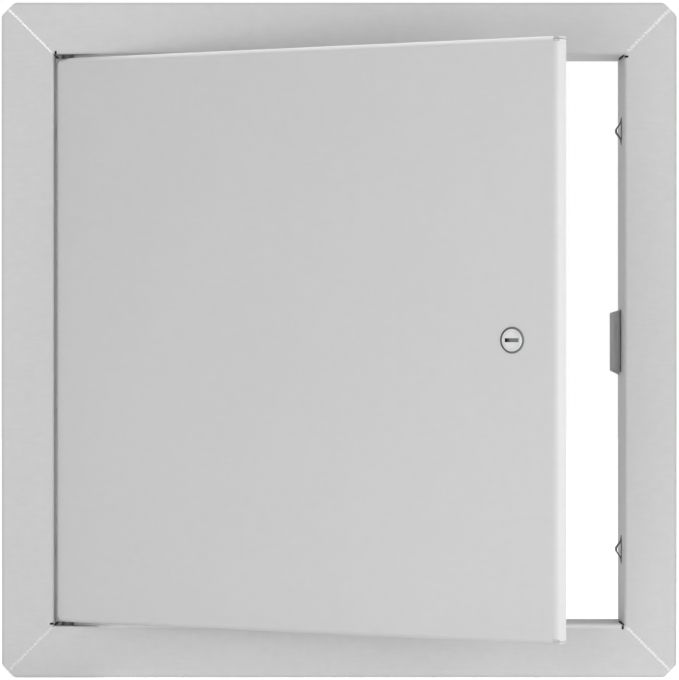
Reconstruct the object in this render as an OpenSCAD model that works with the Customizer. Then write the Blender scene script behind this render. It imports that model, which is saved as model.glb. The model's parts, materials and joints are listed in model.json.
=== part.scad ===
/* [Frame] */
// Clear opening of the frame, jamb face to jamb face, both ways
opening = 558.8; // [520:0.1:600]
// Width of the face flange, jamb face to outer edge
flange_w = 50.8; // [40:0.1:60]
// Depth of the frame, flange front to the back edge of the jamb
jamb_depth = 89; // [84:0.5:110]
// Thickness of the steel sheet
sheet_t = 1.52; // [1.2:0.02:1.9]
// Inside radius of every bend in the sheet
bend_r = 1.6; // [1.2:0.1:2]
// Size of the cut across each outer flange corner
corner_cut = 12.7; // [8:0.1:18]
// Length taken off each side where a corner cut meets the flange edge
corner_ease = 1.7; // [0.5:0.1:4]
// Width of the relief slit across the bend at one end of each member
relief_w = 2; // [1:0.1:2.4]
// Diameter of the screw holes through the jambs
screw_hole_d = 6.5; // [5:0.1:8]
// Distance between the two screw holes of each jamb
screw_spacing = 320; // [280:1:340]
// Distance of the screw holes behind the wall face
screw_back = 66; // [60:1:72]

/* [Anchor bridges] */
// Distance between the two lanced bridges of each stile
bridge_spacing = 414; // [400:1:430]
// Length of a bridge along the stile
bridge_len = 28; // [24:1:34]
// Height of a bridge above the jamb face
bridge_rise = 6; // [4:0.1:8]
// Width of a bridge across the jamb
bridge_w = 10; // [8:0.5:12]
// Distance of the bridge centres behind the wall face
bridge_back = 42; // [38:0.5:46]

/* [Door] */
// Gap between door edge and jamb, all round
door_gap = 3.175; // [2.8:0.025:4]
// Depth of the door pan, face to return edge
door_depth = 18; // [16.5:0.1:20]
// Inside radius of the bends along the door's edges
door_bend_r = 3; // [2.4:0.1:3.4]
// Angle at which the door stands open
door_open = 30.4; // [0:0.1:118]

/* [Hinge] */
// Distance of the hinge axis from the door's hinge edge
hinge_inset = 10.2; // [9.8:0.1:14]
// Distance of the hinge axis behind the door face
hinge_back = 8; // [7.6:0.1:8.6]
// Diameter of the hinge pins
pin_d = 6; // [5:0.1:6.4]
// Distance of the pivot bracket's ear from the door's end edge
ear_inset = 32; // [26:0.5:40]

/* [Latch] */
// Distance of the latch axis from the door's latch edge
latch_inset = 46; // [44:0.1:52]
// Diameter of the dark bezel round the latch
bezel_d = 24.4; // [23:0.1:28]
// Diameter of the latch head
head_d = 20.6; // [20:0.1:21.4]
// Length of the slot in the latch plug
slot_len = 14.4; // [10:0.1:14.5]
// Width of the slot in the latch plug
slot_w = 3.6; // [2:0.1:3.8]
// Length of the latch barrel behind the door face
barrel_len = 34; // [30:0.5:36]
// Distance of the keeper plate behind the flange front
keeper_depth = 46; // [44.5:0.1:50]
// Reach of the keeper plate from the jamb face
keeper_reach = 11.2; // [10:0.1:13]

/* [Hidden] */
$fn = 64;
steel = "lightgray";
zinc = "silver";
nylon = "dimgray";

half_open = opening / 2;
half_outer = half_open + flange_w;
centre_z = half_open + flange_w / 2;
bend_out = bend_r + sheet_t;
jamb_end = jamb_depth - sheet_t;
mitre_end = half_outer - corner_cut / 2;
cut_at = half_outer - corner_cut;
ease_run = corner_ease * cos(45);
relief_land = 0.8;
relief_reach = 0.5;
weld_start = bend_out + 2;
cut = 1;

slit = 0.8;
bridge_flat = 3;
bridge_ramp = 5.5;
bridge_shoulder = 1.3;
bridge_knee = bridge_len / 2 - bridge_ramp;
bridge_foot = 2;

weld_end_gap = 3;

door_half = half_open - door_gap;
door_out = door_bend_r + sheet_t;
return_gap = 1;
hinge_x = hinge_inset - door_half;
hinge_y = hinge_back - sheet_t;
run_fit = 0.075;
push_fit = 0.05;
pin_r = pin_d / 2;
bush_r = pin_r + 1.5;
bush_flange_r = bush_r + 1.5;
bush_proud = 0.6;
seat_gap = 0.3;
pin_proud = 1.2;
pin_head_r = pin_r + 1.6;
pin_head_h = 2;
pin_tip = 0.6;
groove_r = pin_r - 0.6;
groove_w = 1;
groove_up = 0.1;
clip_r = pin_r + 2.2;
clip_t = 0.8;
clip_mouth = 4.2;
ear_z = door_half - ear_inset;
ear_len = 22;
bracket_t = 2;
bracket_bend = 1.2;
bracket_leg = 24;
bracket_front = 0.4;
bracket_clear = 0.1;
bracket_back = door_depth - sheet_t - 1;

stop_x = 120;
stop_len = 25;
stop_reach = 9;
stop_leg = 16;
stop_y = door_depth - sheet_t + seat_gap;

latch_x = door_half - latch_inset;
bezel_t = 1;
bezel_lip = 0.5;
bezel_edge = 0.4;
head_t = 0.8;
head_edge = 0.3;
head_front = -bezel_lip - head_t;
barrel_r = 9.5;
barrel_flat = 8.5;
bore_r = 7.58;
shaft_r = 7.5;
recess_r = 8.6;
recess_d = 0.7;
disc_r = 8.3;
disc_front = head_front + 0.1;
disc_back = head_front + recess_d - 0.1;
slot_d = 2;
hole_play = 0.1;
mount_nut_flats = 26;
mount_nut_t = 5;
hex_ratio = 2 / sqrt(3);

drive = 9;
drive_play = 0.05;
drive_start = barrel_len + 0.4;
washer_t = 1.5;
washer_r = 10.5;
lug_in = 7.9;
lug_out = 9.3;
lug_h = 2.6;
lug_angle = 20;
lug_slack = 1.5;
window_h = 3;
cam_t = 2.5;
cam_start = drive_start + washer_t;
cam_hub_r = 10;
cam_w = 18;
cam_tip_gap = 3.5;
cam_len = latch_inset + door_gap - cam_tip_gap;
cam_bend_at = 16;
cam_gap = 0.5;
cam_drop = keeper_depth + sheet_t + cam_gap - cam_start;
cam_slope = cam_drop * 0.6;
stud_r = 3;
stud_len = 9;
lock_washer_r = 6;
lock_washer_t = 1.2;
cam_nut_flats = 10;
cam_nut_t = 5;
thread_play = 0.05;
drive_end = cam_start + cam_t;

keeper_y = keeper_depth - sheet_t;
keeper_leg = 18;
keeper_top = 30.4;
keeper_top_tip = 26.9;
keeper_foot = -32;
keeper_foot_tip = -26.4;
lip_w = 3;
lip_root = 1;
lip_tilt = 35;
lip_angle = atan2(keeper_foot_tip - keeper_foot, keeper_reach);
lip_end_gap = 1.5;

// Places a piece built round the middle of the opening
module at_centre() {
    translate([0, 0, centre_z]) children();
}

// Swings a piece built on the closed door out to the open angle
module on_door() {
    at_centre()
        translate([hinge_x, hinge_y, 0])
            rotate([0, 0, -door_open])
                translate([-hinge_x, -hinge_y, 0])
                    children();
}

// Places a piece of the latch, built along +Z from the door face inwards
module on_latch() {
    on_door()
        translate([latch_x, -sheet_t, 0])
            rotate([-90, 0, 0])
                children();
}

// Bent angle section: one leg along X, one along Y, outer faces on the axes
module angle_section(leg_x, leg_y, t, r) {
    translate([r + t, 0]) square([leg_x - r - t, t]);
    translate([0, r + t]) square([t, leg_y - r - t]);
    bend_section(t, r);
}

// Quarter ring of a bend, its outer faces on the axes
module bend_section(t, r) {
    intersection() {
        translate([r + t, r + t]) {
            difference() {
                circle(r + t);
                circle(r);
            }
        }
        square(r + t);
    }
}

// Outline of one frame member seen from the front: mitred ends, cut and eased corners
module member_outline() {
    polygon([
        [0, 0],
        [mitre_end, mitre_end],
        [half_outer - ease_run, cut_at + ease_run],
        [half_outer, cut_at - corner_ease],
        [half_outer, corner_ease - cut_at],
        [half_outer - ease_run, -cut_at - ease_run],
        [mitre_end, -mitre_end]
    ]);
}

// Flange, bend and jamb of one side, lying along Z at +X
module member() {
    difference() {
        intersection() {
            translate([half_open, -sheet_t, -half_outer])
                linear_extrude(height = 2 * half_outer)
                    angle_section(flange_w, jamb_depth, sheet_t, bend_r);
            translate([0, jamb_end + cut, 0])
                rotate([90, 0, 0])
                    linear_extrude(height = jamb_depth + 2 * cut)
                        member_outline();
        }
        for (end = [0, 1]) {
            mirror([0, 0, end]) {
                translate([half_open - cut, weld_start, half_open])
                    cube([sheet_t + 2 * cut, jamb_depth, sheet_t + cut]);
                translate([half_open - cut, screw_back, screw_spacing / 2])
                    rotate([0, 90, 0])
                        cylinder(d = screw_hole_d, h = sheet_t + 2 * cut);
            }
        }
        translate([half_open - cut, -sheet_t - cut, half_open - relief_land - relief_w])
            cube([bend_out + relief_reach + cut, bend_out + relief_reach + cut, relief_w]);
    }
}

// A stile: a member with two bridges lanced out of the jamb
module stile() {
    difference() {
        member();
        for (side = [-1, 1]) {
            translate([half_open - cut, bridge_back - bridge_w / 2 - slit, side * bridge_spacing / 2])
                translate([0, 0, -bridge_len / 2])
                    cube([sheet_t + 2 * cut, bridge_w + 2 * slit, bridge_len]);
        }
    }
    for (side = [-1, 1]) {
        translate([half_open, bridge_back + bridge_w / 2, side * bridge_spacing / 2])
            rotate([90, 0, 0])
                linear_extrude(height = bridge_w)
                    bridge_section();
    }
}

// Strip of one bridge: a low ramp at each end, then a steep arch into the opening
module bridge_section() {
    polygon([
        [0, -bridge_len / 2 - bridge_foot],
        [0, -bridge_len / 2],
        [-bridge_shoulder, -bridge_knee],
        [-bridge_rise, -bridge_flat / 2],
        [-bridge_rise, bridge_flat / 2],
        [-bridge_shoulder, bridge_knee],
        [0, bridge_len / 2],
        [0, bridge_len / 2 + bridge_foot],
        [sheet_t, bridge_len / 2 + bridge_foot],
        [sheet_t, bridge_len / 2],
        [sheet_t - bridge_shoulder, bridge_knee],
        [sheet_t - bridge_rise, bridge_flat / 2],
        [sheet_t - bridge_rise, -bridge_flat / 2],
        [sheet_t - bridge_shoulder, -bridge_knee],
        [sheet_t, -bridge_len / 2],
        [sheet_t, -bridge_len / 2 - bridge_foot]
    ]);
}

// A rail: a member laid along X, above (side 1) or below (side -1), with the hole for its bush
module rail(side) {
    difference() {
        rotate([0, -90 * side, 0]) member();
        translate([hinge_x, hinge_y, side * (half_open + sheet_t / 2)])
            cylinder(r = bush_r + push_fit, h = sheet_t + 2 * cut, center = true);
    }
}

module frame_top_rail() {
    color(steel) at_centre() rail(1);
}

module frame_bottom_rail() {
    color(steel) at_centre() rail(-1);
}

module frame_hinge_stile() {
    color(steel) at_centre() rotate([0, 180, 0]) stile();
}

module frame_latch_stile() {
    color(steel) at_centre() stile();
}

// Quarter-round weld filling the open outside corner between two jambs
module weld_bead() {
    translate([half_open, jamb_end - weld_end_gap, half_open])
        rotate([90, 0, 0])
            linear_extrude(height = jamb_end - weld_end_gap - weld_start - cut)
                intersection() {
                    circle(sheet_t);
                    square(sheet_t);
                }
}

module corner_welds() {
    color(steel)
        at_centre()
            for (side = [0, 1], end = [0, 1])
                mirror([side, 0, 0]) mirror([0, 0, end]) weld_bead();
}

// Outline of the keeper seen from the front, its ends slanting in
module keeper_outline() {
    polygon([
        [half_open, keeper_top],
        [half_open - keeper_reach, keeper_top_tip],
        [half_open - keeper_reach, keeper_foot_tip],
        [half_open, keeper_foot]
    ]);
}

module latch_keeper() {
    color(steel)
        at_centre() {
            intersection() {
                translate([half_open, keeper_y, keeper_foot])
                    mirror([1, 0, 0])
                        linear_extrude(height = keeper_top - keeper_foot)
                            angle_section(keeper_reach, keeper_leg, sheet_t, bend_r);
                translate([0, keeper_y + keeper_leg, 0])
                    rotate([90, 0, 0])
                        linear_extrude(height = keeper_leg)
                            keeper_outline();
            }
            keeper_lip();
        }
}

// Lead-in lip along the keeper's slanting foot, bent forward and trimmed to the plate's width
module keeper_lip() {
    intersection() {
        translate([half_open - keeper_reach, keeper_y, keeper_foot_tip])
            rotate([0, lip_angle, 0])
                translate([-lip_w, 0, 0])
                    rotate([90, 0, 90])
                        linear_extrude(height = 2 * keeper_reach)
                            lip_section();
        translate([half_open - keeper_reach, keeper_y - lip_w, keeper_foot - 2 * lip_w])
            cube([keeper_reach - lip_end_gap, sheet_t + lip_w, keeper_top - keeper_foot]);
    }
}

// Side view of the lip: the plate's lower end and the strip bent forward from it
module lip_section() {
    polygon([
        [0, lip_root],
        [0, 0],
        [-lip_w * sin(lip_tilt), -lip_w * cos(lip_tilt)],
        [sheet_t * cos(lip_tilt) - lip_w * sin(lip_tilt), -lip_w * cos(lip_tilt) - sheet_t * sin(lip_tilt)],
        [sheet_t, -sheet_t * tan(lip_tilt / 2)],
        [sheet_t, lip_root]
    ]);
}

// Angle clip on a rail that the door's return closes against
module door_stop() {
    translate([stop_x - stop_len / 2, stop_y, half_open])
        rotate([0, 90, 0])
            linear_extrude(height = stop_len)
                angle_section(stop_reach, stop_leg, sheet_t, bend_r);
}

module upper_door_stop() {
    color(steel) at_centre() door_stop();
}

module lower_door_stop() {
    color(steel) at_centre() mirror([0, 0, 1]) door_stop();
}

// Flanged bush pressed up into the rail
module pivot_bush() {
    translate([hinge_x, hinge_y, half_open])
        difference() {
            union() {
                translate([0, 0, seat_gap - door_gap])
                    cylinder(r = bush_flange_r, h = door_gap - seat_gap);
                cylinder(r = bush_r, h = sheet_t + bush_proud);
            }
            translate([0, 0, -door_gap])
                cylinder(r = pin_r + run_fit, h = door_gap + sheet_t + bush_proud + cut);
        }
}

module upper_pivot_bush() {
    color(nylon) at_centre() pivot_bush();
}

module lower_pivot_bush() {
    color(nylon) at_centre() mirror([0, 0, 1]) pivot_bush();
}

// Bend along one edge of the door, lying along Z at +X, open at the corners
module door_bend() {
    translate([door_half, -sheet_t, door_out - door_half])
        mirror([1, 0, 0])
            linear_extrude(height = 2 * (door_half - door_out))
                bend_section(sheet_t, door_bend_r);
}

// Flat return behind a bend, reaching this far each way along Z
module door_return(reach) {
    translate([door_half - sheet_t, door_bend_r, -reach])
        cube([sheet_t, door_depth - door_out, 2 * reach]);
}

module door_pan() {
    color(steel)
        on_door()
            difference() {
                union() {
                    translate([door_out - door_half, -sheet_t, door_out - door_half])
                        cube([2 * (door_half - door_out), sheet_t, 2 * (door_half - door_out)]);
                    for (turn = [0:90:270])
                        rotate([0, turn, 0]) door_bend();
                    for (turn = [0, 180]) {
                        rotate([0, turn, 0]) door_return(door_half - sheet_t - return_gap);
                        rotate([0, turn + 90, 0]) door_return(door_half);
                    }
                }
                for (end = [0, 1])
                    mirror([0, 0, end])
                        translate([hinge_x, hinge_y, door_half - sheet_t - cut])
                            cylinder(r = pin_r + push_fit, h = sheet_t + 2 * cut);
                translate([latch_x, cut, 0])
                    rotate([90, 0, 0])
                        linear_extrude(height = sheet_t + 2 * cut)
                            barrel_outline(hole_play);
            }
}

// Round outline with two flats that keeps the latch barrel from turning
module barrel_outline(play) {
    intersection() {
        circle(barrel_r + play);
        square([2 * (barrel_flat + play), 4 * barrel_r], center = true);
    }
}

// Angle bracket on the hinge-edge return, its ear holding the pin and notched round the door's bend
module pivot_bracket() {
    difference() {
        translate([sheet_t - door_half, bracket_front, ear_z])
            rotate([-90, 0, 0])
                linear_extrude(height = bracket_back - bracket_front)
                    angle_section(ear_len, bracket_leg, bracket_t, bracket_bend);
        translate([sheet_t - door_half - cut, 0, ear_z - bracket_leg - cut])
            cube([door_bend_r + bracket_clear + cut, door_bend_r + bracket_clear, bracket_leg + 2 * cut]);
        translate([hinge_x, hinge_y, ear_z - bracket_t - cut])
            cylinder(r = pin_r + push_fit, h = bracket_t + 2 * cut);
    }
}

module upper_pivot_bracket() {
    color(steel) on_door() pivot_bracket();
}

module lower_pivot_bracket() {
    color(steel) on_door() mirror([0, 0, 1]) pivot_bracket();
}

// Headed pin from the bracket's ear up through door and rail
module hinge_pin() {
    pin_top = half_open + sheet_t + pin_proud - ear_z;
    translate([hinge_x, hinge_y, ear_z])
        rotate_extrude()
            polygon([
                [0, -bracket_t - pin_head_h],
                [pin_head_r, -bracket_t - pin_head_h],
                [pin_head_r, -bracket_t],
                [pin_r, -bracket_t],
                [pin_r, groove_up],
                [groove_r, groove_up],
                [groove_r, groove_up + groove_w],
                [pin_r, groove_up + groove_w],
                [pin_r, pin_top - pin_tip],
                [pin_r - pin_tip, pin_top],
                [0, pin_top]
            ]);
}

module upper_hinge_pin() {
    color(zinc) on_door() hinge_pin();
}

module lower_hinge_pin() {
    color(zinc) on_door() mirror([0, 0, 1]) hinge_pin();
}

// Snap clip in the pin's groove, resting on the ear
module pin_clip() {
    translate([hinge_x, hinge_y, ear_z + groove_up])
        difference() {
            cylinder(r = clip_r, h = clip_t);
            translate([0, 0, -cut])
                cylinder(r = groove_r + push_fit, h = clip_t + 2 * cut);
            translate([-clip_mouth / 2, 0, -cut])
                cube([clip_mouth, clip_r + cut, clip_t + 2 * cut]);
        }
}

module hinge_pin_clips() {
    color(zinc)
        on_door()
            for (end = [0, 1])
                mirror([0, 0, end]) pin_clip();
}

module latch_bezel() {
    color(nylon)
        on_latch()
            rotate_extrude()
                polygon([
                    [barrel_r + hole_play, -bezel_lip],
                    [head_d / 2 + hole_play, -bezel_lip],
                    [head_d / 2 + hole_play, -bezel_t],
                    [bezel_d / 2 - bezel_edge, -bezel_t],
                    [bezel_d / 2, bezel_edge - bezel_t],
                    [bezel_d / 2, 0],
                    [barrel_r + hole_play, 0]
                ]);
}

module latch_body() {
    color(zinc)
        on_latch()
            difference() {
                union() {
                    rotate_extrude()
                        polygon([
                            [0, head_front],
                            [head_d / 2 - head_edge, head_front],
                            [head_d / 2, head_front + head_edge],
                            [head_d / 2, -bezel_lip],
                            [0, -bezel_lip]
                        ]);
                    translate([0, 0, -bezel_lip])
                        linear_extrude(height = barrel_len + bezel_lip)
                            barrel_outline(0);
                }
                translate([0, 0, head_front - cut])
                    cylinder(r = bore_r, h = barrel_len - head_front + 2 * cut);
                translate([0, 0, head_front - cut])
                    cylinder(r = recess_r, h = recess_d + cut);
                translate([0, 0, barrel_len - window_h])
                    lug_window();
            }
}

// Quarter-turn window in the barrel's end that the washer's lug runs in
module lug_window() {
    span = 90 + lug_angle + 2 * lug_slack;
    rotate([0, 0, 90 - span / 2])
        rotate_extrude(angle = span)
            translate([bore_r - slit, 0])
                square([barrel_r + cut - bore_r + slit, window_h + cut]);
}

module latch_mount_nut() {
    color(zinc)
        on_latch()
            translate([0, 0, sheet_t])
                difference() {
                    cylinder(d = mount_nut_flats * hex_ratio, h = mount_nut_t, $fn = 6);
                    translate([0, 0, -cut])
                        cylinder(r = barrel_r + thread_play, h = mount_nut_t + 2 * cut);
                }
}

module latch_plug() {
    color(zinc)
        on_latch()
            difference() {
                union() {
                    rotate_extrude()
                        polygon([
                            [0, disc_front],
                            [disc_r, disc_front],
                            [disc_r, disc_back],
                            [shaft_r, disc_back],
                            [shaft_r, drive_start],
                            [0, drive_start]
                        ]);
                    translate([-drive / 2, -drive / 2, drive_start])
                        cube([drive, drive, drive_end - drive_start]);
                    translate([0, 0, drive_end])
                        cylinder(r = stud_r, h = stud_len);
                }
                translate([-slot_len / 2, -slot_w / 2, disc_front - cut])
                    cube([slot_len, slot_w, slot_d + cut]);
            }
}

// Square hole that fits over the plug's drive
module drive_hole(h) {
    side = drive + 2 * drive_play;
    translate([-side / 2, -side / 2, -cut])
        cube([side, side, h + 2 * cut]);
}

module latch_stop_washer() {
    color(zinc)
        on_latch()
            translate([0, 0, drive_start]) {
                difference() {
                    cylinder(r = washer_r, h = washer_t);
                    drive_hole(washer_t);
                }
                rotate([0, 0, 135 - lug_angle / 2])
                    translate([0, 0, -lug_h])
                        rotate_extrude(angle = lug_angle)
                            translate([lug_in, 0])
                                square([lug_out - lug_in, lug_h]);
            }
}

// Side view of the cranked cam: flat hub, sloping web, flat tip
module cam_section() {
    polygon([
        [-cam_hub_r, 0],
        [cam_bend_at, 0],
        [cam_bend_at + cam_slope, cam_drop],
        [cam_len, cam_drop],
        [cam_len, cam_drop + cam_t],
        [cam_bend_at + cam_slope - cam_t / 2, cam_drop + cam_t],
        [cam_bend_at - cam_t / 2, cam_t],
        [-cam_hub_r, cam_t]
    ]);
}

// Plan of the cam along Y: round hub, straight arm, round tip
module cam_outline() {
    circle(cam_hub_r);
    translate([-cam_w / 2, 0]) square([cam_w, cam_len - cam_w / 2]);
    translate([0, cam_len - cam_w / 2]) circle(cam_w / 2);
}

module latch_cam() {
    color(zinc)
        on_latch()
            translate([0, 0, cam_start])
                difference() {
                    intersection() {
                        linear_extrude(height = cam_drop + cam_t)
                            cam_outline();
                        translate([-cam_hub_r, 0, 0])
                            rotate([90, 0, 90])
                                linear_extrude(height = 2 * cam_hub_r)
                                    cam_section();
                    }
                    drive_hole(cam_t);
                }
}

module cam_lock_washer() {
    color(zinc)
        on_latch()
            translate([0, 0, drive_end])
                difference() {
                    cylinder(r = lock_washer_r, h = lock_washer_t);
                    translate([0, 0, -cut])
                        cylinder(r = stud_r + hole_play, h = lock_washer_t + 2 * cut);
                }
}

module cam_nut() {
    color(zinc)
        on_latch()
            translate([0, 0, drive_end + lock_washer_t])
                difference() {
                    cylinder(d = cam_nut_flats * hex_ratio, h = cam_nut_t, $fn = 6);
                    translate([0, 0, -cut])
                        cylinder(r = stud_r + thread_play, h = cam_nut_t + 2 * cut);
                }
}

frame_top_rail();
frame_bottom_rail();
frame_hinge_stile();
frame_latch_stile();
corner_welds();
latch_keeper();
upper_door_stop();
lower_door_stop();
upper_pivot_bush();
lower_pivot_bush();
door_pan();
upper_pivot_bracket();
lower_pivot_bracket();
upper_hinge_pin();
lower_hinge_pin();
hinge_pin_clips();
latch_bezel();
latch_body();
latch_mount_nut();
latch_plug();
latch_stop_washer();
latch_cam();
cam_lock_washer();
cam_nut();
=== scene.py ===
"""Finish, light and camera for a steel access panel whose door stands ajar.

Lengths are in metres, in the frame of the parts: X to the right, Y into the wall, Z up.
"""
import json
import math

import bpy
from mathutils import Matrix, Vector


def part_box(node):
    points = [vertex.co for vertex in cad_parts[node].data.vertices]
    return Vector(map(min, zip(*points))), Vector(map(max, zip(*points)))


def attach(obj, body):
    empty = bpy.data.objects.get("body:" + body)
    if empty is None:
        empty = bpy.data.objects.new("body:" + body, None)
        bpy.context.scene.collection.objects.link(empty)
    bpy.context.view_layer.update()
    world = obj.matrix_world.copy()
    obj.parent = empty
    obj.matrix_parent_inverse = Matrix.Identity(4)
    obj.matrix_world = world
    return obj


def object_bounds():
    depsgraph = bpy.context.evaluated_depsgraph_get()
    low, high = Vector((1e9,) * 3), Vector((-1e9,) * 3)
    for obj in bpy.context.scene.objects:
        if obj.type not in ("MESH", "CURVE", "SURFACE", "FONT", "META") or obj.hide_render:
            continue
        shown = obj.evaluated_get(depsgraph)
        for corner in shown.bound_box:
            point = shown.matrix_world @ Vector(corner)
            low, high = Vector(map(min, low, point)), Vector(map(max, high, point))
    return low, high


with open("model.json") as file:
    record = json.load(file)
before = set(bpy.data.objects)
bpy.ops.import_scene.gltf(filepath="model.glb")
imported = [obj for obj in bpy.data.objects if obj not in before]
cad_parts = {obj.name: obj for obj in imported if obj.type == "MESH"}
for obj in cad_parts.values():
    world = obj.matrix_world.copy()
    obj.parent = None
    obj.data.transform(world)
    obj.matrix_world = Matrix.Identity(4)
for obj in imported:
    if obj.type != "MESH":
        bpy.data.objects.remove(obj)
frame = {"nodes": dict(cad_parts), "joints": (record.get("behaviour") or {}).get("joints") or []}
cad_low, cad_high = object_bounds()

MM = 0.001

# Sizes that the panel's parts share
FLANGE_W = 50.8 * MM
SHEET_T = 1.52 * MM
BEND_IN = 1.6 * MM
BEND_OUT = BEND_IN + SHEET_T
CORNER_CUT = 12.7 * MM
RELIEF_W = 2.0 * MM
RELIEF_LAND = 0.8 * MM
RELIEF_REACH = 0.5 * MM
SLOT_LEN = 14.4 * MM
SLOT_W = 3.6 * MM
PLUG_FACE = 1.2 * MM
BEZEL_D = 24.4 * MM
KEEPER_REACH = 11.2 * MM
BRIDGE_SPACING = 414 * MM
BRIDGE_BACK = 42 * MM
BRIDGE_LEN = 28 * MM
BRIDGE_CUT = 11.6 * MM

half_outer = cad_high.x
half_open = half_outer - FLANGE_W
centre = Vector((0, 0, (cad_low.z + cad_high.z) / 2))
flange_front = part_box("frame_top_rail")[0].y
right = Vector((1, 0, 0))
inward = Vector((0, 1, 0))
up = Vector((0, 0, 1))

joints = {joint["name"]: joint for joint in frame["joints"]}

# The latch: its axis points out of the door face, and its slot lies along the door's width
latch_at = Vector(joints["latch_turn"]["pos_m"])
latch_out = Vector(joints["latch_turn"]["axis"]).normalized()
door_across = up.cross(latch_out)

# The hinge: its axis, and how far the door's edge lies beyond it
hinge_at = Vector(joints["door_swing"]["pos_m"])
HINGE_INSET = 10.2 * MM

# The photograph's frame, and the camera that fits it
PHOTO_W = 679
PHOTO_H = 680
PIXEL = 0.9788 * MM
PANEL_MID_X = 338.65
PANEL_MID_Y = 339.65
CAMERA_AWAY = 3.690
CAMERA_CLIP = 100
SENSOR = 36.0

# Light levels: the studio is brighter in front of the panel than behind it
FRONT_GLOW = 0.77
REAR_GLOW = 0.34
GLOW_TURN = 0.4
FLOOR_REACH = 9.0
FLOOR_TONE = 0.82
FLOOR_LIFT = 0.64

# Each soft light: its name, place, size and watts
LIGHTS = (
    ("key_light", (-0.35, -2.3, 0.14), 0.6, 11.5),
    ("fill_light", (0.90, -2.2, 0.20), 0.6, 8.5),
    ("side_light", (2.10, -0.06, 0.40), 0.6, 18.5),
    ("top_light", (0.10, -0.065, 2.00), 0.08, 16),
)

# Cosines between which an eased edge shows, and the span that most noise lies in
FLAT_COS = 0.995
EDGE_COS = 0.80
NOISE_SPAN = (0.3, 0.7)


class Finish:
    """A node material that grows round one Principled shader."""

    def __init__(self, name, edge_radius):
        self.material = bpy.data.materials.new(name)
        self.material.use_nodes = True
        self.tree = self.material.node_tree
        self.shader = self.tree.nodes["Principled BSDF"]
        coordinates = self.add("ShaderNodeTexCoord")
        self.place = coordinates.outputs["Object"]
        self.facing = coordinates.outputs["Normal"]
        self.eased = self.add("ShaderNodeBevel", {"Radius": edge_radius}, samples=4).outputs["Normal"]

    def add(self, kind, inputs=None, **settings):
        """Adds a node; an input is a number, a colour, a vector or another node's socket."""
        made = self.tree.nodes.new(kind)
        for key, value in settings.items():
            setattr(made, key, value)
        for key, value in (inputs or {}).items():
            self.feed(made.inputs[key], value)
        return made

    def feed(self, socket, value):
        if isinstance(value, bpy.types.NodeSocket):
            self.tree.links.new(value, socket)
        else:
            socket.default_value = value

    def set(self, **inputs):
        """Sets the shader's sockets, named with _ for a space and in lower case."""
        names = {socket.name.lower().replace(" ", "_"): socket for socket in self.shader.inputs}
        for key, value in inputs.items():
            self.feed(names[key], value)

    def noise(self, scale, detail=3.0, roughness=0.5, stretch=(1, 1, 1)):
        """Noise of that many cells a metre, drawn out along an axis by a stretch below 1."""
        at = self.add("ShaderNodeMapping", {"Vector": self.place, "Scale": stretch})
        made = self.add(
            "ShaderNodeTexNoise",
            {"Vector": at.outputs["Vector"], "Scale": scale, "Detail": detail, "Roughness": roughness},
        )
        return made.outputs["Fac"]

    def math(self, operation, first, second=0.0):
        made = self.add("ShaderNodeMath", {0: first, 1: second}, operation=operation)
        return made.outputs["Value"]

    def blend(self, *layers):
        """Sum of values, each given with its share."""
        total = self.math("MULTIPLY", *layers[0])
        for value, share in layers[1:]:
            total = self.math("ADD", total, self.math("MULTIPLY", value, share))
        return total

    def remap(self, value, low, high, to_low, to_high):
        made = self.add(
            "ShaderNodeMapRange",
            {"Value": value, "From Min": low, "From Max": high, "To Min": to_low, "To Max": to_high},
        )
        return made.outputs["Result"]

    def mix(self, amount, first, second):
        """Colour between two colours."""
        made = self.add("ShaderNodeMix", data_type="RGBA")
        self.feed(made.inputs["Factor"], amount)
        self.feed(made.inputs[6], first)
        self.feed(made.inputs[7], second)
        return made.outputs[2]

    def edges(self):
        """1 on an edge, 0 on a flat face."""
        flat = self.add("ShaderNodeNewGeometry").outputs["Normal"]
        turn = self.add("ShaderNodeVectorMath", {0: self.eased, 1: flat}, operation="DOT_PRODUCT")
        return self.remap(turn.outputs["Value"], FLAT_COS, EDGE_COS, 0.0, 1.0)

    def bump(self, height, strength, depth):
        made = self.add(
            "ShaderNodeBump",
            {"Height": height, "Strength": strength, "Distance": depth, "Normal": self.eased},
        )
        return made.outputs["Normal"]

    def near(self, value, middle, reach):
        """1 where a value lies within that reach of the middle, else 0."""
        gap = self.math("ABSOLUTE", self.math("SUBTRACT", value, middle))
        return self.math("LESS_THAN", gap, reach)

    def turned(self, direction, bend):
        """0 to 1 as a face turns towards a direction, between two cosines."""
        turn = self.add("ShaderNodeVectorMath", {0: self.facing, 1: direction}, operation="DOT_PRODUCT")
        return self.remap(turn.outputs["Value"], *bend, 0.0, 1.0)

    def along(self, point, direction):
        """Distance from a point along a direction."""
        offset = self.add("ShaderNodeVectorMath", {0: self.place, 1: point}, operation="SUBTRACT")
        run = self.add(
            "ShaderNodeVectorMath",
            {0: offset.outputs["Vector"], 1: direction},
            operation="DOT_PRODUCT",
        )
        return run.outputs["Value"]


# Coats of primer: tone, tone of the edges, which is painted shade, and how much the tone varies
PRIMER = 0.545
FRAME_COAT = (PRIMER, 0.27, 0.13)
DOOR_COAT = (0.565, 0.53, 0.06)

# Painted shade by the hinge, in the hinge gap and along the rim, each as a share of its tone
HINGE_SHADE_SHARE = 0.32
FAINT_SHARE = 0.74
DOOR_TOP_SHARE = 0.68
GAP_SHADE_SHARE = 0.38
GAP_SHADE_BACK = 17 * MM
GAP_SHADE_FADE = (5 * MM, 12 * MM)
JAMB_BEND = (0.9, 0.99)
RIM_W = 2.6 * MM
RIM_SHARE = 0.88
LANCED_TONE = 0.11
CUT_SLACK = 0.05 * MM


def grey(tone, warm=0.0):
    return (tone + warm, tone, tone - warm, 1.0)


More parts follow.
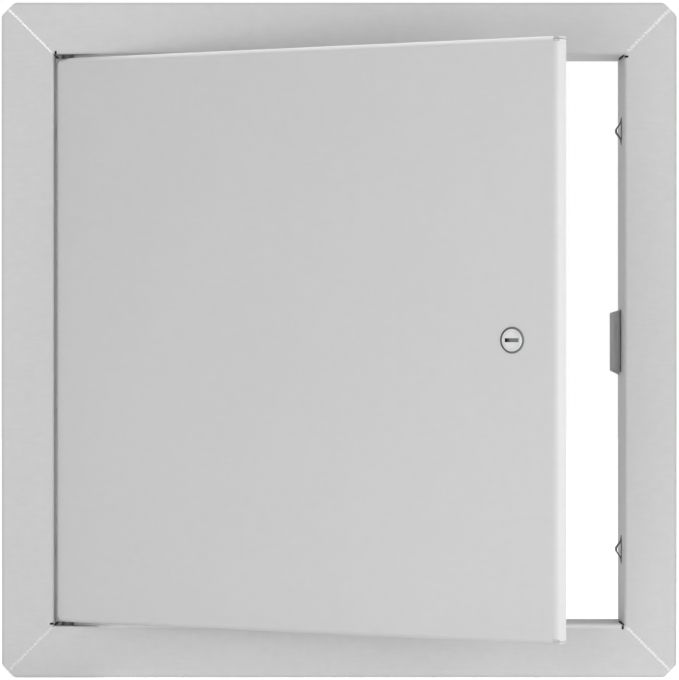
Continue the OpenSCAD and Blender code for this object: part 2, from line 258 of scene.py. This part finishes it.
def spread(tone, share):
    """A darker and a paler grey, a share of the tone to each side of it."""
    return grey(tone * (1 - share)), grey(tone * (1 + share))


def primed_steel(name, coat, hinge_shade_list=(), gap_shaded=False, lanced_tone=None):
    """Matt grey primer on sheet steel: faint clouds, level grain, orange peel, painted shade on the
    edges.

    A coat is its tone, the tone of its edges and how much it varies.
    Painted shade darkens it too along the rim of the frame.
    A hinge shade is painted shade that darkens a face by the hinge. It is given by the way the face looks
    and how far the bend beside it is shaded too, by a way off from the hinge axis and where along that
    the dark fades, and by its tone. With gap shade, painted shade darkens the jamb where the door's hinge
    edge swings past.
    With a lanced tone, the bridges and the edges that they are cut from are coloured dark grey.
    """
    tone, edge_tone, mottle = coat
    finish = Finish(name, edge_radius=0.9 * MM)
    clouds = finish.noise(5.0, detail=2.0)
    blotches = finish.noise(110.0, detail=3.0)
    grain = finish.noise(380.0, detail=3.0, roughness=0.6, stretch=(0.14, 0.14, 1))
    peel = finish.noise(700.0, detail=2.0)
    pattern = finish.blend((clouds, 0.3), (blotches, 0.3), (grain, 0.4))
    body = finish.mix(pattern, *spread(tone, mottle))
    # Painted shade along the edges, darkest on the frame
    edge_shade = finish.math("MULTIPLY", finish.edges(), finish.remap(clouds, *NOISE_SPAN, 0.7, 1.0))
    body = finish.mix(edge_shade, body, grey(edge_tone))
    aside = finish.math("ABSOLUTE", finish.along(centre, right))
    rise = finish.math("ABSOLUTE", finish.along(centre, up))
    reach = finish.math("MAXIMUM", aside, rise)
    # Painted shade along the rim of the frame
    rim = finish.remap(reach, half_outer - RIM_W, half_outer - RIM_W / 2, 0.0, 1.0)
    body = finish.mix(rim, body, grey(tone * RIM_SHARE))
    # Painted shade by the hinge, on the faces that each hinge shade names
    for face, bend, off, fade, share in hinge_shade_list:
        by_hinge = finish.remap(finish.along(hinge_at, off), *fade, 1.0, 0.0)
        hinge_shade_mask = finish.math("MULTIPLY", finish.turned(face, bend), by_hinge)
        body = finish.mix(hinge_shade_mask, body, grey(tone * share))
    # Painted shade on the jamb in the hinge gap, where the door's hinge edge swings past
    if gap_shaded:
        aside = finish.math("SUBTRACT", finish.along(hinge_at, inward), GAP_SHADE_BACK)
        by_gap = finish.remap(finish.math("ABSOLUTE", aside), *GAP_SHADE_FADE, 1.0, 0.0)
        gap_shade_mask = finish.math("MULTIPLY", finish.turned(right, JAMB_BEND), by_gap)
        body = finish.mix(gap_shade_mask, body, grey(tone * GAP_SHADE_SHARE))
    if lanced_tone:
        lanced = finish.math(
            "MULTIPLY",
            finish.near(rise, BRIDGE_SPACING / 2, BRIDGE_LEN / 2 + CUT_SLACK),
            finish.near(finish.along(centre, inward), BRIDGE_BACK, BRIDGE_CUT / 2 + CUT_SLACK),
        )
        body = finish.mix(lanced, body, grey(lanced_tone))
    finish.set(
        base_color=body,
        roughness=finish.remap(peel, *NOISE_SPAN, 0.50, 0.62),
        specular_ior_level=0.35,
        normal=finish.bump(finish.math("ADD", peel, grain), 0.25, 0.05 * MM),
    )
    return finish.material


# The keeper: how much its streaks vary its tone, and how much paler its edges are, as a painted highlight
STREAK = 0.15
KEEPER_EDGE = 1.3


def keeper_steel(name, free_tone, root_tone):
    """Drawn steel with streaks up the plate, painted shade darkening it towards the jamb that carries it,
    and a painted highlight on its edges.
    """
    finish = Finish(name, edge_radius=0.5 * MM)
    streaks = finish.noise(900.0, detail=3.0, roughness=0.6, stretch=(1, 1, 0.03))
    # Painted shade darkens the plate towards the jamb
    root = finish.remap(finish.along(centre, right), half_open - KEEPER_REACH, half_open, 0.0, 1.0)
    pale = finish.mix(root, grey(free_tone * (1 + STREAK)), grey(root_tone * (1 + STREAK)))
    deep = finish.mix(root, grey(free_tone * (1 - STREAK)), grey(root_tone * (1 - STREAK)))
    body = finish.mix(finish.remap(streaks, *NOISE_SPAN, 0.0, 1.0), deep, pale)
    # The paler edges are a painted highlight
    finish.set(
        base_color=finish.mix(finish.edges(), body, grey(free_tone * KEEPER_EDGE)),
        roughness=finish.remap(streaks, *NOISE_SPAN, 0.45, 0.60),
        specular_ior_level=0.35,
        normal=finish.bump(streaks, 0.2, 0.04 * MM),
    )
    return finish.material


# Zinc plate, the latch's turned rings, and the painted shade in its slot, black at the left end
ZINC_DULL = grey(0.56, -0.006)
ZINC_BRIGHT = grey(0.70, -0.004)
ZINC_EDGE = grey(0.78)
RING_PITCH = 0.45 * MM
SLOT_SLACK = 0.1 * MM
SLOT_SHADE_FADE = (-0.4 * SLOT_LEN, -0.15 * SLOT_LEN)
SLOT_SHADE_BLACK = 0.03
SLOT_SHADE_GREY = 0.18


def zinc_plate(name, turned=False, dark_slot=False):
    """Bright zinc: cloudy plating, and turned rings or painted shade in the slot of the latch."""
    finish = Finish(name, edge_radius=0.35 * MM)
    clouds = finish.noise(160.0, detail=4.0, roughness=0.6)
    scratches = finish.noise(900.0, detail=2.0, stretch=(1, 1, 0.08))
    relief = finish.math("ADD", clouds, scratches)
    across = finish.along(latch_at, door_across)
    rise = finish.along(latch_at, up)
    if turned:
        squares = finish.math("ADD", finish.math("POWER", across, 2.0), finish.math("POWER", rise, 2.0))
        radius = finish.math("SQRT", squares)
        relief = finish.math("SINE", finish.math("MULTIPLY", radius, 2 * math.pi / RING_PITCH))
    body = finish.mix(clouds, ZINC_DULL, ZINC_BRIGHT)
    body = finish.mix(finish.edges(), body, ZINC_EDGE)
    # Painted shade inside the slot, black at its left end
    if dark_slot:
        inside = finish.math(
            "MULTIPLY",
            finish.near(across, 0.0, SLOT_LEN / 2 + SLOT_SLACK),
            finish.near(rise, 0.0, SLOT_W / 2 + SLOT_SLACK),
        )
        low = finish.math("LESS_THAN", finish.along(latch_at, latch_out), PLUG_FACE - SLOT_SLACK)
        paler = finish.remap(across, *SLOT_SHADE_FADE, 0.0, 1.0)
        slot_shade = finish.mix(paler, grey(SLOT_SHADE_BLACK), grey(SLOT_SHADE_GREY))
        body = finish.mix(finish.math("MULTIPLY", inside, low), body, slot_shade)
    finish.set(
        base_color=body,
        metallic=1.0,
        roughness=finish.remap(clouds, *NOISE_SPAN, 0.30, 0.44),
        normal=finish.bump(relief, 0.15, 0.02 * MM),
    )
    return finish.material


# How much moulded nylon varies, and how much paler its edges are
NYLON_CLOUD = 0.2
NYLON_EDGE = 1.8


def nylon(name, tone, far_tone=None):
    """Dark moulded nylon with a fine matt grain; across the latch it can fade to a paler tone, painted
    shade at one side and painted light at the other.
    """
    finish = Finish(name, edge_radius=0.3 * MM)
    grain = finish.noise(1800.0, detail=2.0)
    clouds = finish.noise(90.0, detail=2.0)
    body = finish.mix(clouds, *spread(tone, NYLON_CLOUD))
    # Painted shade on the bezel's left side, painted light on its right
    if far_tone:
        over = finish.remap(finish.along(latch_at, door_across), -BEZEL_D / 2, BEZEL_D / 2, 0.0, 1.0)
        body = finish.mix(over, body, grey(far_tone))
    finish.set(
        base_color=finish.mix(finish.edges(), body, grey(tone * NYLON_EDGE)),
        roughness=finish.remap(grain, *NOISE_SPAN, 0.48, 0.64),
        normal=finish.bump(grain, 0.3, 0.03 * MM),
    )
    return finish.material


# How much a bead varies and ripples break it up, and the heights between which its sides fade out
BEAD_CLOUD = 0.10
BEAD_BREAK = 0.45
BEAD_FADE = (0.1, 0.8)


def dressed_weld(name, tone, fade_tone=None):
    """Weld dressed back and painted, with short ripples; it can fade towards the bead's sides."""
    finish = Finish(name, edge_radius=0.3 * MM)
    ripples = finish.noise(620.0, detail=3.0, roughness=0.65)
    body = finish.mix(ripples, *spread(tone, BEAD_CLOUD))
    if fade_tone:
        crown = finish.add("ShaderNodeAttribute", attribute_name="crown").outputs["Fac"]
        shown = finish.math("ADD", crown, finish.remap(ripples, *NOISE_SPAN, -BEAD_BREAK, BEAD_BREAK))
        body = finish.mix(finish.remap(shown, *BEAD_FADE, 0.0, 1.0), grey(fade_tone), body)
    finish.set(
        base_color=body,
        roughness=finish.remap(ripples, *NOISE_SPAN, 0.42, 0.56),
        normal=finish.bump(ripples, 0.4, 0.12 * MM),
    )
    return finish.material


SPECKLE_CLOUD = 0.5


def painted_joint_shade(name, tone):
    """Near-black painted shade with a fine speckle, for the bottom of a slit or an open joint."""
    finish = Finish(name, edge_radius=0.2 * MM)
    speckle = finish.noise(900.0, detail=3.0)
    finish.set(
        base_color=finish.mix(speckle, *spread(tone, SPECKLE_CLOUD)),
        roughness=finish.remap(speckle, *NOISE_SPAN, 0.75, 0.95),
        specular_ior_level=0.1,
        normal=finish.bump(speckle, 0.3, 0.05 * MM),
    )
    return finish.material


def dress(node, material):
    """Gives a node its material."""
    mesh = frame["nodes"][node].data
    mesh.materials.clear()
    mesh.materials.append(material)


DOOR_STOPS = ("upper_door_stop", "lower_door_stop")
BRACKETS = ("upper_pivot_bracket", "lower_pivot_bracket")
ZINC = (
    "upper_hinge_pin",
    "lower_hinge_pin",
    "hinge_pin_clips",
    "latch_mount_nut",
    "latch_stop_washer",
    "latch_cam",
    "cam_lock_washer",
    "cam_nut",
)
BUSHES = ("upper_pivot_bush", "lower_pivot_bush")

# Painted shade by the hinge: where along the way off from its axis each fades, and how far round a bend
# it goes
FRAME_FADE = (6 * MM, 50 * MM)
DOOR_FADE = (1 * MM - HINGE_INSET, 5 * MM - HINGE_INSET)
FRAME_BEND = (0.6, 0.98)
DOOR_BEND = (0.1, 0.7)
FAINT_FADE = (45 * MM, 190 * MM)
DOOR_TOP_FADE = (25 * MM, 90 * MM)
TOP_HINGE_SHADES = (
    (-up, FRAME_BEND, right, FAINT_FADE, FAINT_SHARE),
    (-up, FRAME_BEND, right, FRAME_FADE, HINGE_SHADE_SHARE),
)
BOTTOM_HINGE_SHADES = ((up, FRAME_BEND, right, FRAME_FADE, HINGE_SHADE_SHARE),)
DOOR_HINGE_SHADES = (
    (up, DOOR_BEND, door_across, DOOR_TOP_FADE, DOOR_TOP_SHARE),
    (-door_across, DOOR_BEND, door_across, DOOR_FADE, HINGE_SHADE_SHARE),
)

FINISHES = (
    (("frame_top_rail",), primed_steel("top_primer", FRAME_COAT, TOP_HINGE_SHADES)),
    (("frame_bottom_rail",), primed_steel("bottom_primer", FRAME_COAT, BOTTOM_HINGE_SHADES)),
    (("frame_latch_stile",), primed_steel("latch_primer", FRAME_COAT, lanced_tone=LANCED_TONE)),
    (("frame_hinge_stile",), primed_steel("hinge_primer", FRAME_COAT, gap_shaded=True)),
    (DOOR_STOPS, primed_steel("frame_primer", FRAME_COAT)),
    (("latch_keeper",), keeper_steel("keeper_steel", free_tone=0.48, root_tone=0.33)),
    (("door_pan",), primed_steel("door_primer", DOOR_COAT, DOOR_HINGE_SHADES)),
    (BRACKETS, primed_steel("bracket_primer", DOOR_COAT)),
    (("corner_welds",), dressed_weld("weld_primer", tone=0.60)),
    (ZINC, zinc_plate("plain_zinc")),
    (("latch_body",), zinc_plate("turned_zinc", turned=True)),
    (("latch_plug",), zinc_plate("slotted_zinc", turned=True, dark_slot=True)),
    (BUSHES, nylon("dark_nylon", tone=0.045)),
    (("latch_bezel",), nylon("bezel_nylon", tone=0.05, far_tone=0.17)),
)
for nodes, material in FINISHES:
    for node in nodes:
        dress(node, material)


def piece(name, rings, material, body, crowns=None):
    """A closed tube through rings of equal count, which rides on a body."""
    count = len(rings[0])
    points = [point for ring in rings for point in ring]
    faces = [tuple(reversed(range(count)))]
    for row in range(len(rings) - 1):
        for k in range(count):
            here = row * count + k
            beside = row * count + (k + 1) % count
            faces.append((here, beside, beside + count, here + count))
    last = (len(rings) - 1) * count
    faces.append(tuple(range(last, last + count)))
    mesh = bpy.data.meshes.new(name)
    mesh.from_pydata(points, [], faces)
    if crowns:
        layer = mesh.attributes.new("crown", "FLOAT", "POINT")
        layer.data.foreach_set("value", crowns)
    mesh.shade_smooth()
    mesh.materials.append(material)
    made = bpy.data.objects.new(name, mesh)
    bpy.context.scene.collection.objects.link(made)
    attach(made, body)


# Frame corners: side and end of the opening, and whether the slit crosses the stile or the rail
CORNERS = {
    "upper_left": (-1, 1, "rail"),
    "upper_right": (1, 1, "stile"),
    "lower_left": (-1, -1, "stile"),
    "lower_right": (1, -1, "rail"),
}

# The dressed weld along each mitre of the flange, from the bend to the cut corner
SEAM_SUNK = 0.08 * MM
SEAM_RISE = 0.22 * MM
SEAM_STEPS = 120
SEAM_ON_BEND = 0.3 * BEND_OUT
SEAM_END_GAP = 0.3 * MM
SEAM_PROFILE = ((-1.0, 0.0), (-0.66, 0.55), (-0.3, 0.9), (0.0, 1.0), (0.3, 0.9), (0.66, 0.55), (1.0, 0.0))

# Ripples along a seam: their pitch, depth and how unevenly they fall; then how it wanders and widens
RIPPLE_PITCH = 3.4 * MM
RIPPLE_DEPTH = 0.22
RIPPLE_DRIFT = 0.8
DRIFT_TURN = 11
WANDERS = ((0.14 * MM, 23, 1), (0.10 * MM, 61, 2))
SWELL = 0.1
SWELL_TURN = 83
SWELL_PHASE = 3
SIDE_PHASE = 1.7
END_PHASE = 0.9

# Each seam's width and look; the beads' pale tones are a painted highlight along the mitres
SEAMS = {
    "upper_left": (3.2 * MM, dressed_weld("crisp_seam", 0.82, PRIMER)),
    "upper_right": (4.4 * MM, dressed_weld("spotted_seam", 0.67, PRIMER)),
    "lower_left": (5.6 * MM, dressed_weld("faint_seam", 0.64, PRIMER)),
    "lower_right": (4.2 * MM, dressed_weld("narrow_seam", 0.72, PRIMER)),
}


def mitre_seam(corner, width, material):
    """A low crowned bead along a mitre; its crown is kept as a value that the weld's look reads."""
    side, end, _ = CORNERS[corner]
    start = half_open + SEAM_ON_BEND
    stop = half_outer - CORNER_CUT / 2 - SEAM_END_GAP
    diagonal = right * side + up * end
    across = (up * side - right * end).normalized()
    phase = SIDE_PHASE * side + END_PHASE * end
    rings = []
    crowns = []
    for step in range(SEAM_STEPS + 1):
        share = step / SEAM_STEPS
        out = start + (stop - start) * share
        run = (out - start) * math.sqrt(2)
        drift = RIPPLE_DRIFT * math.sin(DRIFT_TURN * share + phase)
        ripple = 1 - RIPPLE_DEPTH + RIPPLE_DEPTH * math.sin(2 * math.pi * run / RIPPLE_PITCH + drift)
        short = max(0.0, half_open + BEND_OUT - out)
        drop = BEND_OUT - math.sqrt(BEND_OUT**2 - short**2)
        base = centre + diagonal * out + inward * (flange_front + drop)
        wave = sum(sway * math.sin(turn * share + shift * phase) for sway, turn, shift in WANDERS)
        half_width = width / 2 * (1 + SWELL * math.sin(SWELL_TURN * share + SWELL_PHASE * phase))
        ring = []
        for over, high in SEAM_PROFILE:
            crown = ripple * high
            aside = across * (wave + half_width * over)
            ring.append(base + aside + inward * (SEAM_SUNK - SEAM_RISE * crown))
            crowns.append(crown)
        rings.append(ring)
    piece(f"mitre_seam_{corner}", rings, material, "frame", crowns)


# Painted shade at the bottom of each relief slit, set back from the bend, and along the open joint at the
# jambs' corner
FILL_BACK = 0.4 * MM
FILL_LAP = 0.05 * MM
FILL_STEPS = 8
JOINT_START = 0.6 * MM
JOINT_END = 64 * MM
JOINT_ON_STILE = 1.0 * MM
JOINT_ON_RAIL = 2.3 * MM
JOINT_STEPS = 16
JOINT_LEAST = 0.4
JOINT_FULLNESS = 0.7
# Near-black painted shade for the slit bottoms and open joints
joint_steel = painted_joint_shade("joint_steel", tone=0.02)


def relief_fill(corner):
    """Follows the bend round under a relief slit, so that the slit has a bottom of painted shade."""
    side, end, crossed = CORNERS[corner]
    out, run = (right * side, up * end) if crossed == "stile" else (up * end, right * side)
    hub = centre + out * (half_open + BEND_OUT) + inward * (flange_front + BEND_OUT)
    near = half_open - RELIEF_LAND - RELIEF_W - FILL_LAP
    far = half_open - RELIEF_LAND + FILL_LAP
    spots = [(-out, inward * RELIEF_REACH)]
    for step in range(FILL_STEPS + 1):
        turn = math.pi / 2 * step / FILL_STEPS
        spots.append((-out * math.cos(turn) - inward * math.sin(turn), Vector((0, 0, 0))))
    spots.append((-inward, out * RELIEF_REACH))
    rings = []
    for ray, shift in spots:
        outer = hub + shift + ray * (BEND_OUT - FILL_BACK)
        inner = hub + shift + ray * BEND_IN
        rings.append([inner + run * near, outer + run * near, outer + run * far, inner + run * far])
    piece(f"relief_fill_{corner}", rings, joint_steel, "frame")


def open_joint(corner):
    """A sliver of painted shade down the inner corner where two jambs meet, widest at the middle."""
    side, end, _ = CORNERS[corner]
    edge = centre + right * side * half_open + up * end * half_open
    rings = []
    for step in range(JOINT_STEPS + 1):
        share = step / JOINT_STEPS
        open_share = JOINT_LEAST + (1 - JOINT_LEAST) * math.sin(math.pi * share) ** JOINT_FULLNESS
        base = edge + inward * (JOINT_START + (JOINT_END - JOINT_START) * share)
        on_rail = base - right * side * JOINT_ON_RAIL * open_share
        on_stile = base - up * end * JOINT_ON_STILE * open_share
        rings.append([base, on_rail, on_stile])
    piece(f"open_joint_{corner}", rings, joint_steel, "frame")


for corner in CORNERS:
    mitre_seam(corner, *SEAMS[corner])
    relief_fill(corner)
    open_joint(corner)


def seen_directly(tree):
    """1 for rays that show the background itself, 0 for those that light the object."""
    path = tree.nodes.new("ShaderNodeLightPath")
    total = path.outputs["Is Camera Ray"]
    for ray in ("Is Glossy Ray", "Is Transmission Ray"):
        most = tree.nodes.new("ShaderNodeMath")
        most.operation = "MAXIMUM"
        tree.links.new(total, most.inputs[0])
        tree.links.new(path.outputs[ray], most.inputs[1])
        total = most.outputs["Value"]
    return total


def studio_world():
    """White to look at; as a light, brighter from the front than from behind."""
    world = bpy.data.worlds.new("studio")
    world.use_nodes = True
    tree = world.node_tree
    look = tree.nodes.new("ShaderNodeTexCoord")
    parts = tree.nodes.new("ShaderNodeSeparateXYZ")
    tree.links.new(look.outputs["Generated"], parts.inputs["Vector"])
    glow = tree.nodes.new("ShaderNodeMapRange")
    tree.links.new(parts.outputs["Y"], glow.inputs["Value"])
    glow.inputs["From Min"].default_value = -GLOW_TURN
    glow.inputs["From Max"].default_value = GLOW_TURN
    glow.inputs["To Min"].default_value = FRONT_GLOW
    glow.inputs["To Max"].default_value = REAR_GLOW
    light = tree.nodes["Background"]
    light.inputs["Color"].default_value = grey(1.0)
    tree.links.new(glow.outputs["Result"], light.inputs["Strength"])
    shown = tree.nodes.new("ShaderNodeBackground")
    shown.inputs["Color"].default_value = grey(1.0)
    mix = tree.nodes.new("ShaderNodeMixShader")
    tree.links.new(seen_directly(tree), mix.inputs["Fac"])
    tree.links.new(light.outputs["Background"], mix.inputs[1])
    tree.links.new(shown.outputs["Background"], mix.inputs[2])
    tree.links.new(mix.outputs["Shader"], tree.nodes["World Output"].inputs["Surface"])
    bpy.context.scene.world = world


def pale_floor():
    """A floor that looks as white as the background and still takes soft shade."""
    reach = FLOOR_REACH
    corners = ((-reach, -reach), (reach, -reach), (reach, reach), (-reach, reach))
    mesh = bpy.data.meshes.new("floor")
    mesh.from_pydata([(x, y, cad_low.z) for x, y in corners], [], [(0, 1, 2, 3)])
    floor = bpy.data.objects.new("floor", mesh)
    bpy.context.scene.collection.objects.link(floor)
    material = bpy.data.materials.new("pale_floor")
    material.use_nodes = True
    tree = material.node_tree
    tree.nodes.remove(tree.nodes["Principled BSDF"])
    matt = tree.nodes.new("ShaderNodeBsdfDiffuse")
    matt.inputs["Color"].default_value = grey(FLOOR_TONE)
    lift = tree.nodes.new("ShaderNodeMath")
    lift.operation = "MULTIPLY"
    tree.links.new(seen_directly(tree), lift.inputs[0])
    lift.inputs[1].default_value = FLOOR_LIFT
    glow = tree.nodes.new("ShaderNodeEmission")
    tree.links.new(lift.outputs["Value"], glow.inputs["Strength"])
    both = tree.nodes.new("ShaderNodeAddShader")
    tree.links.new(matt.outputs["BSDF"], both.inputs[0])
    tree.links.new(glow.outputs["Emission"], both.inputs[1])
    tree.links.new(both.outputs["Shader"], tree.nodes["Material Output"].inputs["Surface"])
    mesh.materials.append(material)


def soft_light(name, at, size, watts):
    """A square soft light aimed at the middle of the panel."""
    data = bpy.data.lights.new(name, "AREA")
    data.shape = "SQUARE"
    data.size = size
    data.energy = watts
    lamp = bpy.data.objects.new(name, data)
    lamp.location = at
    lamp.rotation_euler = (centre - Vector(at)).to_track_quat("-Z", "Y").to_euler()
    lamp.visible_camera = False
    bpy.context.scene.collection.objects.link(lamp)


def photo_camera():
    """A camera square to the panel, at the photograph's distance and scale."""
    data = bpy.data.cameras.new("photo_camera")
    data.sensor_width = SENSOR
    data.lens = SENSOR * CAMERA_AWAY / (PHOTO_H * PIXEL)
    data.clip_end = CAMERA_CLIP
    camera = bpy.data.objects.new("photo_camera", data)
    camera.location = (
        ((PHOTO_W - 1) / 2 - PANEL_MID_X) * PIXEL,
        flange_front - CAMERA_AWAY,
        centre.z + (PANEL_MID_Y - (PHOTO_H - 1) / 2) * PIXEL,
    )
    camera.rotation_euler = (math.pi / 2, 0, 0)
    bpy.context.scene.collection.objects.link(camera)
    bpy.context.scene.camera = camera


photo_camera()
studio_world()
pale_floor()
for light in LIGHTS:
    soft_light(*light)
bpy.context.scene.view_settings.view_transform = "Standard"
